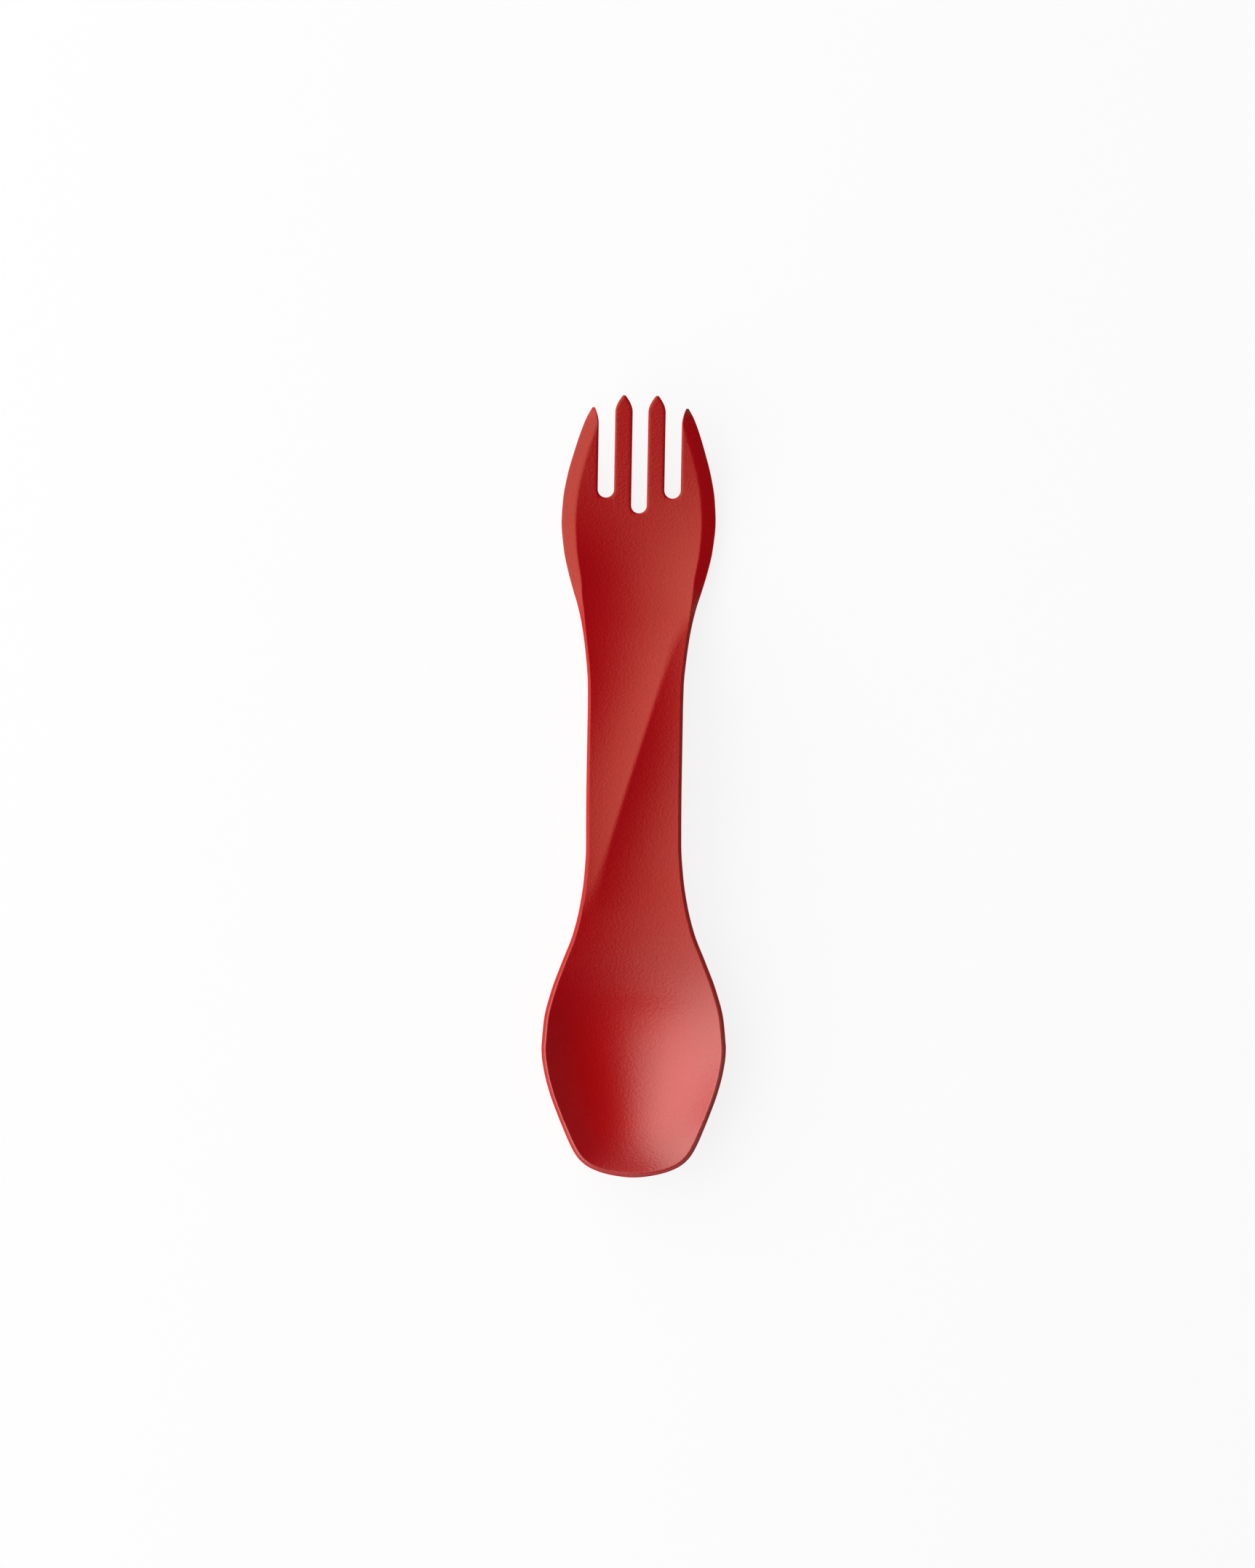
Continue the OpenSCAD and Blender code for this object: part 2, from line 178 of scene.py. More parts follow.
# Two rows ahead of a slot's rounded root, in its roundings, and how far rows bend, in its radii
ROOT_LEAD_SHARES = (2.4, 1.6)
ROOT_BEND_SHARE = 4
# Rows along the tines: even ones at first, and closer ones towards the tips
TINE_ROWS = 39
TINE_EVEN_SHARE = 0.8
TIP_LINES = (0.12, 0.24, 0.36, 0.48, 0.58, 0.67, 0.75, 0.82, 0.88, 0.93, 0.97, 1)

# Places computed along the bowl's front, step of a slope, least share of the ridge, and the
# distance in metres at which points merge
FRONT_SAMPLES = 8001
SLOPE_STEP = 0.01
LEAST_SHARE = 1e-4
MERGE_DISTANCE = 2e-7

# Plastic; places are metres along Y and Z from the part's origin
RED = (0.56, 0.0, 0.007)
ROUGHNESS = 0.37
DIFFUSE_ROUGHNESS = 1.0
IOR = 1.5
SHEEN = 0.46
SHEEN_TINT = (1, 0.97, 0.64)
# The bowl is more polished than the rest
BOWL_LOOK_FROM = -0.02
BOWL_LOOK_FULL = -0.06
POLISH_ROUGHNESS = 0.36
POLISH_IOR = 1.65
# Painted light: the red is painted brighter in the bowl, more where it lies low
BOWL_PAINTED_LIGHT_RED = (0.73, 0.0, 0.004)
BOWL_LIGHT_FROM = -0.005
BOWL_LIGHT_FULL = -0.045
BOWL_LIGHT_HIGH = 0.01
BOWL_LIGHT_LOW = 0.003
BOWL_LIGHT_AT_RIM = 0.15
# Steep faces are duller, and their red is painted by their facing, a painted shade against the bowl's
# painted light; a face is steep where its direction has little Z
STEEP_PAINTED_RED = (0.56, 0.0, 0.006)
EDGE_FROM = 0.75
EDGE_FULL = 0.5
EDGE_ROUGHNESS = 0.8
# Fine grain, which also mottles the colour and the gloss a little
GRAIN_SCALE = 2000
GRAIN_DETAIL = 3
GRAIN_FINENESS = 0.6
GRAIN_DEPTH = 7.5e-5
GRAIN_ROUGHNESS = 0.06
MOTTLE_RED = (0.3, 0.0, 0.005)
MOTTLE_FROM = 0.3
MOTTLE_FULL = 0.7
MOTTLE_SHARE = 0.12

# Floor: its size in metres, its own white, and the grey and the glow that the eye sees instead
FLOOR_SIZE = 6
FLOOR_WHITE = 0.95
FLOOR_SEEN = 0.14
FLOOR_GLOW = 0.86

# Soft boxes: name, angle to the left from straight above, width in metres, radiance, seen in gloss
SOFT_BOXES = (
    ("top_box", math.radians(11), 0.5, 1.22, True),
    ("key_box", math.radians(44), 0.75, 2.15, True),
    ("low_box", math.radians(76), 0.5, 2.65, True),
    ("fill_box", math.radians(-81), 0.3, 0.7, False),
)
BOX_DISTANCE = 1.1
BOX_LENGTH = 4.2
BOX_SHIFT = 0.9
WORLD_LIGHT = 0.0

# Camera in metres, and in pixels the picture's height and the part's length in it
CAMERA_PLACE = (-0.00126, 0.00056)
CAMERA_HEIGHT = 3.0
CAMERA_LEVEL = 0.012
CLIP_END = 20
SENSOR_WIDTH = 36
PICTURE_HEIGHT = 2156
PART_IN_PICTURE = 1075.5


def mix(a, b, t):
    return a + (b - a) * t


def step_up(t):
    s = np.clip(t, 0, 1)
    return s * s * (3 - 2 * s)


def soft_min(a, b, k):
    h = np.maximum(k - np.abs(a - b), 0) / k
    return np.minimum(a, b) - h * h * k / 4


def smooth_slope(f, d):
    return (f(d + SLOPE_STEP) - f(d - SLOPE_STEP)) / (2 * SLOPE_STEP)


def between(shares, place, run, low, high):
    """Stations of a table of shares, from a place on over a run, with values from low to high."""
    return [(place + run * p, mix(low, high, v)) for p, v in shares]


class Along:
    """A smooth curve through (place, value) stations, level wherever the values turn."""

    def __init__(self, stations, ease=0.0):
        self.x, self.y = np.array(sorted(stations), float).T
        rate = np.diff(self.y) / np.diff(self.x)
        before, after = rate[:-1], rate[1:]
        total = np.where(before + after == 0, 1, before + after)
        turn = np.where(before * after <= 0, 0, 2 * before * after / total)
        self.slope = np.concatenate([rate[:1], turn, rate[-1:]])
        self.even = None
        if ease:
            self.soften(ease)

    def raw(self, t):
        t = np.asarray(t, float)
        k = np.clip(np.searchsorted(self.x, t, side="right") - 1, 0, len(self.x) - 2)
        run = self.x[k + 1] - self.x[k]
        s = np.clip((t - self.x[k]) / run, 0, 1)
        bend = self.slope[k] * (1 - s) - self.slope[k + 1] * s
        return mix(self.y[k], self.y[k + 1], (3 - 2 * s) * s * s) + run * s * (1 - s) * bend

    def soften(self, ease):
        """Averages the curve over a bell of the given width, so that its bend has no jumps."""
        step = ease / BELL_STEPS
        low, high = self.x[0], self.x[-1]
        places = np.arange(low, high + step, step)
        reach = np.arange(-BELL_REACH * BELL_STEPS, BELL_REACH * BELL_STEPS + 1) * step
        bell = np.exp(-0.5 * (reach / ease) ** 2)
        bell /= bell.sum()
        far = places[:, None] + reach
        values = self.raw(np.clip(far, low, high))
        values += np.minimum(far - low, 0) * self.slope[0]
        values += np.maximum(far - high, 0) * self.slope[-1]
        self.even = (places, values @ bell)

    def __call__(self, t):
        return self.raw(t) if self.even is None else np.interp(t, *self.even)


# Outline
bowl_front = Along(BOWL_FRONT)
outline = Along(
    between(BOWL_NECK, BOWL_BELLY, HANDLE_START - BOWL_BELLY, HANDLE_HALF, BOWL_HALF)
    + between(FORK_SHOULDER, HANDLE_END, FORK_MIDDLE - HANDLE_END, HANDLE_HALF, FORK_HALF)
    + between(FORK_TIP, FORK_MIDDLE, OUTER_TIP - FORK_MIDDLE, 0, FORK_HALF)
)


def half_width(d):
    d = np.asarray(d, float)
    front = BOWL_HALF * bowl_front(np.sqrt(np.clip(d, 0, BOWL_BELLY) / BOWL_BELLY))
    return np.where(d < BOWL_BELLY, front, outline(d))


front_places = np.linspace(0, BOWL_BELLY, FRONT_SAMPLES) ** 2 / BOWL_BELLY
front_widths = half_width(front_places)


def front_place(x):
    """Distance from the tip at which the front of the bowl is as wide as 2x."""
    return np.interp(np.abs(x), front_widths, front_places)


# Curves along the part: width of the flank, height of the creases, depth of the hollows, wall
BOWL_LOW = BOWL_BELLY * BOWL_LOW_SHARE
FORK_LOW = FORK_MIDDLE - (LENGTH - FORK_MIDDLE) * FORK_LOW_SHARE
HANDLE_MIDDLE = (HANDLE_START + HANDLE_END) / 2
BOWL_RIM = BOWL_DEPTH + WALL
FORK_RIM = FORK_DEPTH * FORK_RIM_SHARE + WALL
flank = Along(
    [(0, BOWL_FLANK), (BOWL_BELLY, BOWL_FLANK), (HANDLE_START, HANDLE_FLANK),
     (HANDLE_END, HANDLE_FLANK), (mix(HANDLE_END, RIDGE_END, FLANK_START_SHARE), HANDLE_FLANK)]
    + between(FLANK_SPREAD, RIDGE_END, FORK_MIDDLE - RIDGE_END, HANDLE_FLANK, FORK_FLANK)
    + [(FORK_MIDDLE, FORK_FLANK), (LENGTH, FORK_FLANK)],
    ease=FLANK_EASE,
)
crease_z = Along(
    [(0, BOWL_RIM + TIP_LIFT), (BOWL_LOW / 2, BOWL_RIM + TIP_LIFT * FRONT_LIFT_SHARE),
     (BOWL_LOW, BOWL_RIM)]
    + between(BOWL_CLIMB, BOWL_LOW, HANDLE_MIDDLE - BOWL_LOW, BOWL_RIM, HANDLE_HEIGHT)
    + [(HANDLE_MIDDLE, HANDLE_HEIGHT)]
    + between(FORK_DROP, HANDLE_MIDDLE, FORK_LOW - HANDLE_MIDDLE, FORK_RIM, HANDLE_HEIGHT)
    + [(FORK_LOW, FORK_RIM)]
    + between(RISE, FORK_LOW, LENGTH - FORK_LOW, FORK_RIM, FORK_RIM + TINE_RISE),
    ease=CREASE_EASE,
)
hollow_depth = Along(
    between(BOWL_DEPTHS, BOWL_FLANK, RIDGE_START - BOWL_FLANK, 0, BOWL_DEPTH)
    + [(RIDGE_START, BOWL_HOLLOW), (RIDGE_END, FORK_HOLLOW)]
    + between(FORK_DEPTHS, RIDGE_END, LENGTH - RIDGE_END, 0, FORK_DEPTH),
    ease=HOLLOW_EASE,
)
wall = Along(
    [(0, WALL), (BOWL_BELLY, WALL), (HANDLE_START, HANDLE_WALL), (HANDLE_END, HANDLE_WALL),
     (FORK_LOW, WALL), (LENGTH, TIP_WALL)],
    ease=WALL_EASE,
)


def crease_half(d):
    return half_width(d) - flank(d)


def ridge_share(d):
    return np.clip((d - RIDGE_START) / (RIDGE_END - RIDGE_START), LEAST_SHARE, 1 - LEAST_SHARE)


def ridge_at(d):
    """Place of the ridge, straight across the handle; where it fades out it turns to the creases."""
    share = ridge_share(d)
    straight = step_up(np.minimum(share, 1 - share) / RIDGE_FADE_SHARE)
    return (2 * share - 1) * mix(crease_half(d), HANDLE_HALF - HANDLE_FLANK, straight)


def on_ridge(d):
    return (d > RIDGE_START) & (d < RIDGE_END)


def arch(d):
    return np.cos(math.pi / 2 * (2 * ridge_share(d) - 1)) ** 2


def side_hollow(d):
    return mix(BOWL_HOLLOW, FORK_HOLLOW, ridge_share(d))


def ridged_z(x, d):
    """Height of the handle's two hollows, which meet in the ridge."""
    side = crease_half(d)
    edge = crease_z(d)
    lift = RIDGE_RISE * arch(d)
    depth = side_hollow(d)
    share = (ridge_at(d) + side) / (2 * side)
    left = (x + side) / (2 * side)
    right = (side - x) / (2 * side)
    fork_side = edge + lift * left / share - 4 * depth * left * (share - left)
    bowl_side = edge + lift * right / (1 - share) - 4 * depth * right * (1 - share - right)
    near_end = np.abs(2 * ridge_share(d) - 1) ** RIDGE_END_POWER
    return soft_min(fork_side, bowl_side, RIDGE_SOFT * (1 + RIDGE_END_GAIN * near_end))


def hollow_z(x, d):
    """Height of the top surface: one hollow at each end, and two that meet in a ridge between."""
    single = crease_z(d) - hollow_depth(d) * (1 - (x / crease_half(d)) ** 2)
    return np.where(on_ridge(d), ridged_z(x, d), single)


def under_z(x, d):
    """Height of the underside, which follows the top at the wall's thickness."""
    dip = np.where(on_ridge(d), mix(side_hollow(d), -RIDGE_RISE, arch(d)), hollow_depth(d))
    return crease_z(d) - dip * (1 - np.minimum((x / crease_half(d)) ** 2, 1)) - wall(d)


def rounding(e, radius):
    """How far an edge of the given radius has dropped at a distance e from its outline."""
    t = np.clip(1 - e / radius, 0, 1)
    return radius * (1 - np.sqrt(1 - t * t))


def surfaces(x, d, e, wall_e, flank_run):
    """Heights of top and underside at a distance e from the outline and wall_e from a slot's wall."""
    parting = crease_z(d) - FLANK_HEIGHT
    rise = (FLANK_HEIGHT - EDGE_ROUND) * e / flank_run
    headward = step_up((d - BOWL_BELLY) / (RIDGE_END - BOWL_BELLY))
    soft = mix(BOWL_CREASE_SOFT, CREASE_SOFT, headward)
    top = soft_min(parting + EDGE_ROUND + rise, hollow_z(x, d), soft)
    r = np.clip(e / flank_run, 0, 1)
    low = mix(parting - EDGE_ROUND, under_z(x, d), np.sqrt(r * (2 - r)))
    drop = rounding(e, EDGE_ROUND) + rounding(wall_e, SLOT_ROUND)
    return top - drop, low + drop


def pointed(t):
    return 1 - np.clip(1 - t, 0, 1) ** POINT_POWER


def tine_half(d):
    """Half the width of an inner tine."""
    return mix(POINT_HALF, TINE_WIDTH / 2, pointed((LENGTH - d) / POINT_LENGTH))


def slot_edge(d):
    """Distance from the middle to the inner side of an outer tine."""
    tip = float(half_width(OUTER_TIP)) - 2 * POINT_HALF
    return mix(tip, SLOT_PLACE + OUTER_SLOT_HALF, pointed((OUTER_TIP - d) / POINT_LENGTH))


def slot_distance(x, d):
    """Distance from a point of the plate to the nearest slot wall."""
    walls = [np.hypot(x - place, np.minimum(d - root, 0)) - half for place, half, root in SLOTS]
    return np.min(walls, axis=0)


def tine_distance(x, d):
    """Distance from a point of a tine to its side or end, where the tine is pointed."""
    lean = np.sqrt(1 + smooth_slope(tine_half, d) ** 2)
    inner = np.minimum((tine_half(d) - np.abs(np.abs(x) - TINE_PLACE)) / lean, LENGTH - d)
    lean = np.sqrt(1 + smooth_slope(slot_edge, d) ** 2)
    outer = np.minimum((np.abs(x) - slot_edge(d)) / lean, OUTER_TIP - d)
    return np.where(np.abs(x) < SLOT_PLACE, inner, outer)


def leaned(x, d):
    """The fork head leans: beyond the start of the handle, stations turn and drift towards +X."""
    run = HANDLE_HALF * LEAN_RUN_SHARE
    start = HANDLE_START + HANDLE_HALF * LEAN_START_SHARE
    t = np.clip((d - start) / run, 0, 1)
    turn = FORK_LEAN * t
    drift = math.tan(FORK_LEAN) * (run * t * t / 2 + np.maximum(d - start - run, 0))
    return x * np.cos(turn) + drift, d - x * np.sin(turn)


class Plate:
    """Collects points with a top and an underside, and the cells between them."""

    def __init__(self):
        self.top = []
        self.low = []
        self.cells = []

    def add(self, x, d, e, wall_e, run):
        """Adds points, and returns their numbers."""
        z_top, z_low = surfaces(x, d, e, np.maximum(wall_e, 0), run)
        px, py = leaned(x, d)
        first = len(self.top)
        self.top += list(np.stack([px, py, z_top], axis=-1))
        self.low += list(np.stack([px, py, z_low], axis=-1))
        return np.arange(first, len(self.top))

    def grid(self, nodes, is_open=lambda j, i: False):
        """Adds the cells of a grid of points, apart from the open ones."""
        for j, i in np.ndindex(nodes.shape[0] - 1, nodes.shape[1] - 1):
            if not is_open(j, i):
                corners = (nodes[j, i], nodes[j, i + 1], nodes[j + 1, i + 1], nodes[j + 1, i])
                self.cells.append(tuple(int(v) for v in corners))

    def faces(self, rim):
        """Both skins, which share the points of the rim, and a wall where a cell has no neighbour."""
        count = len(self.top)
        low_of = np.arange(count) + count
        low_of[rim] = rim
        faces = list(self.cells)
        faces += [tuple(int(low_of[v]) for v in reversed(cell)) for cell in self.cells]
        edges = {(cell[k], cell[(k + 1) % 4]) for cell in self.cells for k in range(4)}
        for a, b in sorted(edges):
            if (b, a) not in edges:
                corners = tuple(dict.fromkeys((b, a, int(low_of[a]), int(low_of[b]))))
                if len(corners) > 2:
                    faces.append(corners)
        return faces

    def piece(self, name, rim):
        """The closed plate as an object in metres, with its origin halfway along the part."""
        points = np.array(self.top + self.low)
        points[:, 1] -= LENGTH / 2
        mesh = bpy.data.meshes.new(name)
        mesh.from_pydata((points * MM).tolist(), [], self.faces(rim))
        mesh.validate()
        piece = bpy.data.objects.new(name, mesh)
        bpy.context.collection.objects.link(piece)
        return piece


def strip_lines(run):
    """Distances of the edge strip's lines from the outline, where the flank has the given width."""
    edge = EDGE_ROUND * np.array(EDGE_LINES)
    slope = EDGE_ROUND + (run - EDGE_ROUND) * np.array(FLANK_LINES)
    return np.concatenate([edge, slope, run + CREASE_REACH * np.array(CREASE_LINES)])


STRIP = len(EDGE_LINES) + len(FLANK_LINES) + len(CREASE_LINES)
SLOT_LINES = SLOT_ROUND * np.array(SLOT_LINE_SHARES)


def inner_groups():
    """Places of the columns in each slot and inner tine from left to right, as shares of its width."""
    rim = SLOT_LINES / TINE_WIDTH
    middle = np.linspace(rim[-1], 1 - rim[-1], TINE_CELLS + 1)[1:-1]
    tine = np.concatenate([rim, middle, 1 - rim[::-1]])
    slot = (1 - np.cos(np.linspace(0, math.pi, SLOT_CELLS + 1))) / 2
    return [slot, tine, slot, tine, slot]


# Columns of the panel between the edge strips, in groups: outer tine, slot, tine, slot and so on
INNER_GROUPS = inner_groups()
OUTER_GROUP = len(SLOT_LINES) + OUTER_CELLS
GROUP_CELLS = [OUTER_GROUP - 1, *(len(shares) - 1 for shares in INNER_GROUPS), OUTER_GROUP - 1]
COLUMNS = sum(GROUP_CELLS) + 1
EVEN = np.linspace(0, 1, COLUMNS)
ON_OUTER_TINE = np.ones(COLUMNS, bool)
ON_OUTER_TINE[OUTER_GROUP:-OUTER_GROUP] = False
# First column of each group in a whole row, which starts with the left edge strip
GROUP_STARTS = STRIP - 1 + np.concatenate([[0], np.cumsum(GROUP_CELLS)])


def outer_columns(side, end):
    """Places of the columns on the right outer tine, from its inner side to the edge strip."""
    rim = np.minimum(SLOT_LINES, (end - side) / 2 * SLOT_LINES / SLOT_ROUND)
    rest = mix(end, side + rim[-1], np.linspace(0, 1, OUTER_CELLS + 1)[:-1])
    return np.concatenate([side + rim, rest[::-1]])


def head_columns(d, end):
    """Places of the panel's columns in the fork head at a station, from -end to end."""
    half = float(tine_half(d))
    side = float(slot_edge(d))
    outer = outer_columns(side, end)
    sides = [
        -side, -TINE_PLACE - half, -TINE_PLACE + half, TINE_PLACE - half, TINE_PLACE + half, side,
    ]
    inner = [mix(a, b, shares) for a, b, shares in zip(sides, sides[1:], INNER_GROUPS)]
    # A column on a slot's wall belongs to two groups, so each group but the last gives one up
    return np.concatenate([group[:-1] for group in (-outer[::-1], *inner)] + [outer])


CORNER = BOWL_BELLY * CORNER_SHARE


def spaced(a, b, step):
    count = max(1, round((b - a) / step))
    return list(np.linspace(a, b, count + 1)[1:])


def plate_rows():
    """Stations of the rows up to the roots of the outer slots, finer where the shape turns."""
    lines = list(CORNER + FRONT_SPACING * np.arange(FRONT_ROWS + 1))
    lines += spaced(lines[-1], RIDGE_START, ROW_SPACING)
    lines += spaced(RIDGE_START, RIDGE_END, RIDGE_SPACING)
    near = np.concatenate([SLOT_ROUND * np.array(ROOT_LEAD_SHARES), SLOT_LINES[::-1]])
    for root in (MIDDLE_ROOT, OUTER_ROOT):
        lines += spaced(lines[-1], root - near[0], ROW_SPACING)
        lines += list(root - near[1:])
    return np.array(lines)


PLATE_ROWS = plate_rows()
TINE_SHARES = np.concatenate([
    np.linspace(0, TINE_EVEN_SHARE, TINE_ROWS + 1)[1:],
    mix(TINE_EVEN_SHARE, 1, np.array(TIP_LINES)),
])
# Stations of all rows, for the middle of the part and for its outer tines, which end earlier
MIDDLE_STATIONS = np.concatenate([PLATE_ROWS, mix(OUTER_ROOT, LENGTH, TINE_SHARES)])
OUTER_STATIONS = np.concatenate([PLATE_ROWS, mix(OUTER_ROOT, OUTER_TIP, TINE_SHARES)])
# Row at the root of each slot, by the number of the slot's group of columns
OUTER_ROW = len(PLATE_ROWS) - 1
MIDDLE_ROW = int(np.argmin(np.abs(PLATE_ROWS - MIDDLE_ROOT)))
ROOT_ROWS = {1: OUTER_ROW, 3: MIDDLE_ROW, 5: OUTER_ROW}


def in_slot(j, i):
    """Whether the cell after row j and column i lies in a slot."""
    return any(
        j >= row and GROUP_STARTS[group] <= i < GROUP_STARTS[group + 1]
        for group, row in ROOT_ROWS.items()
    )


def front_strip():
    """Edge strip round the bowl's front: places and stations of its lines, from the outline in."""
    x = float(half_width(CORNER)) * (2 * EVEN - 1)
    d = front_place(x)
    slope = np.gradient(d, x)
    slope[0] = -1 / smooth_slope(half_width, CORNER)
    slope[-1] = -slope[0]
    length = np.hypot(slope, 1)
    lines = strip_lines(BOWL_FLANK)[:, None]
    return x - lines * slope / length, d + lines / length


def strip_offsets(d):
    """Width of the flank at a station and the strip's lines, both limited on an outer tine."""
    run = float(flank(d))
    if d <= OUTER_ROOT:
        return run, strip_lines(run)
    width = float(half_width(d) - slot_edge(d))
    run = min(run, HEAD_FLANK_SHARE * width)
    lines = strip_lines(run)
    return run, lines * min(1.0, HEAD_STRIP_SHARE * width / lines[-1])


def side_strip(d):
    """Right edge strip: places, stations and distances from the outline, and the flank's width."""
    run, offsets = strip_offsets(d)
    width = float(half_width(d))
    slope = float(smooth_slope(half_width, min(d, OUTER_TIP - 2 * SLOPE_STEP)))
    length = math.hypot(1, slope)
    turn = float(step_up((d - CORNER) / (BOWL_BELLY * TURN_SHARE)))
    if turn == 1:
        return width - offsets, np.full(STRIP, d), offsets / length, run / length
    # Next to the bowl's front the lines are square to the outline, and turn to straight across
    normal = np.array([1, -slope]) / length
    across = mix(normal, np.array([1, 0]), turn)
    reach = offsets / float(np.dot(across, normal))
    return width - reach * across[0], d - reach * across[1], offsets, run


def root_bend(x, row):
    """Stations of a row near a slot's root, which follow its round bottom, less away from it."""
    d = np.full(np.shape(x), float(row))
    for place, half, root in SLOTS:
        gap = root - row
        reach = ROOT_BEND_SHARE * half
        if 0 <= gap < reach:
            ring = np.sqrt(np.maximum((half + gap) ** 2 - (x - place) ** 2, 0)) - gap
            bent = d - ring * (1 - step_up(gap / reach))
            d = np.where(np.abs(x - place) < half, bent, d)
    return d


def bowl_row(d, end, base, front_line):
    """Panel row in the bowl, which keeps less and less of the line that the front strip ends in."""
    line_x, line_d = front_line
    fade = 1 - float(step_up((d - CORNER) / BOWL_BELLY))
    bend = line_x - mix(line_x[0], line_x[-1], EVEN)
    return mix(-end, end, EVEN) + bend * fade, base + (line_d - line_d[0]) * fade


def handle_row(d, end):
    """Panel row between the bowl and the tines, whose columns gather beside the slots."""
    head = float(step_up((d - RIDGE_END) / ((MIDDLE_ROOT - RIDGE_END) * HEAD_RUN_SHARE)))
    x = mix(mix(-end, end, EVEN), head_columns(d, end), head)
    return x, root_bend(x, d)


def tine_row(d, outer_d, end):
    """Panel row across the tines."""
    x = np.where(ON_OUTER_TINE, head_columns(outer_d, end), head_columns(d, end))
    return x, np.where(ON_OUTER_TINE, outer_d, d)


def add_row(plate, d, outer_d, front_line):
    """Adds a whole row: left edge strip, panel and right edge strip."""
    strip_x, strip_d, strip_e, run = side_strip(outer_d)
    end = strip_x[-1]
    if d < RIDGE_START:
        panel_x, panel_d = bowl_row(d, end, strip_d[-1], front_line)
    elif d <= OUTER_ROOT:
        panel_x, panel_d = handle_row(d, end)
    else:
        panel_x, panel_d = tine_row(d, outer_d, end)
    # The strips' innermost nodes are the panel's outermost ones
    x = np.concatenate([-strip_x, panel_x[1:-1], strip_x[::-1]])
    station = np.concatenate([strip_d, panel_d[1:-1], strip_d[::-1]])
    e = np.concatenate([strip_e, np.full(COLUMNS - 2, math.inf), strip_e[::-1]])
    wall_e = tine_distance(x, station) if d > OUTER_ROOT else slot_distance(x, station)
    return plate.add(x, station, e, wall_e, run)


def build_spork():
    """The whole part: a strip round the bowl's front, and rows from there to the tines' tips."""
    plate = Plate()
    front_x, front_d = front_strip()
    front = np.zeros((STRIP, COLUMNS), int)
    for r, e in enumerate(strip_lines(BOWL_FLANK)[:-1]):
        front[r, 1:-1] = plate.add(front_x[r, 1:-1], front_d[r, 1:-1], e, math.inf, BOWL_FLANK)
    front_line = (front_x[-1], front_d[-1])
    rows = np.array([
        add_row(plate, d, outer_d, front_line)
        for d, outer_d in zip(MIDDLE_STATIONS, OUTER_STATIONS)
    ])
    # The front strip joins the first row at its two edge strips and all along its panel
    front[:, 0] = rows[0, :STRIP]
    front[:, -1] = rows[0, ::-1][:STRIP]
    front[-1] = rows[0, STRIP - 1:1 - STRIP]
    plate.grid(rows, in_slot)
    plate.grid(front)
    rim = np.unique(np.concatenate([rows[:, 0], rows[:, -1], front[0]]))
    return plate.piece("spork_body", rim)


def tidy_mesh(piece):
    """Merges points that coincide, drops unused ones and shades the surface smooth."""
    bm = bmesh.new()
    bm.from_mesh(piece.data)
    bmesh.ops.remove_doubles(bm, verts=bm.verts, dist=MERGE_DISTANCE)
    loose = [v for v in bm.verts if not v.link_faces]
    bmesh.ops.delete(bm, geom=loose, context="VERTS")
    bmesh.ops.recalc_face_normals(bm, faces=bm.faces)
    for face in bm.faces:
        face.smooth = True
    bm.to_mesh(piece.data)
    bm.free()


def maths(tree, operation, *terms, clamp=False):
    """A Math node, whose terms are numbers or sockets."""
    node = tree.nodes.new("ShaderNodeMath")
    node.operation = operation
    node.use_clamp = clamp
    for socket, term in zip(node.inputs, terms):
        if isinstance(term, float):
            socket.default_value = term
        else:
            tree.links.new(term, socket)
    return node.outputs[0]


def ramp(tree, source, low, high, at_low, at_high):
    """A smooth step from one value to another, while the source goes from low to high."""
    node = tree.nodes.new("ShaderNodeMapRange")
    node.interpolation_type = "SMOOTHSTEP"
    node.inputs["From Min"].default_value = low
    node.inputs["From Max"].default_value = high
    node.inputs["To Min"].default_value = at_low
    node.inputs["To Max"].default_value = at_high
    tree.links.new(source, node.inputs["Value"])
    return node.outputs[0]


def blend(tree, share, first, second):
    """Colour that goes from the first to the second with a share; the first may be a socket."""
    node = tree.nodes.new("ShaderNodeMix")
    node.data_type = "RGBA"
    tree.links.new(share, node.inputs["Factor"])
    node.inputs["B"].default_value = (*second, 1)
    if isinstance(first, tuple):
        node.inputs["A"].default_value = (*first, 1)
    else:
        tree.links.new(first, node.inputs["A"])
    return node.outputs["Result"]


def parts_of(tree, vector):
    """The three parts of a vector, by name."""
    node = tree.nodes.new("ShaderNodeSeparateXYZ")
    tree.links.new(vector, node.inputs[0])
    return node.outputs


def moulded_grain(tree, vector):
    """Fine noise, which is the height of the skin's grain."""
    node = tree.nodes.new("ShaderNodeTexNoise")
    node.inputs["Scale"].default_value = GRAIN_SCALE
    node.inputs["Detail"].default_value = GRAIN_DETAIL
    node.inputs["Roughness"].default_value = GRAIN_FINENESS
    tree.links.new(vector, node.inputs["Vector"])
    return node.outputs[0]


def relief(tree, height):
    """Turns the surface's direction by a height in the grain's depth."""
    node = tree.nodes.new("ShaderNodeBump")
    node.inputs["Distance"].default_value = GRAIN_DEPTH
    tree.links.new(height, node.inputs["Height"])
    return node.outputs[0]


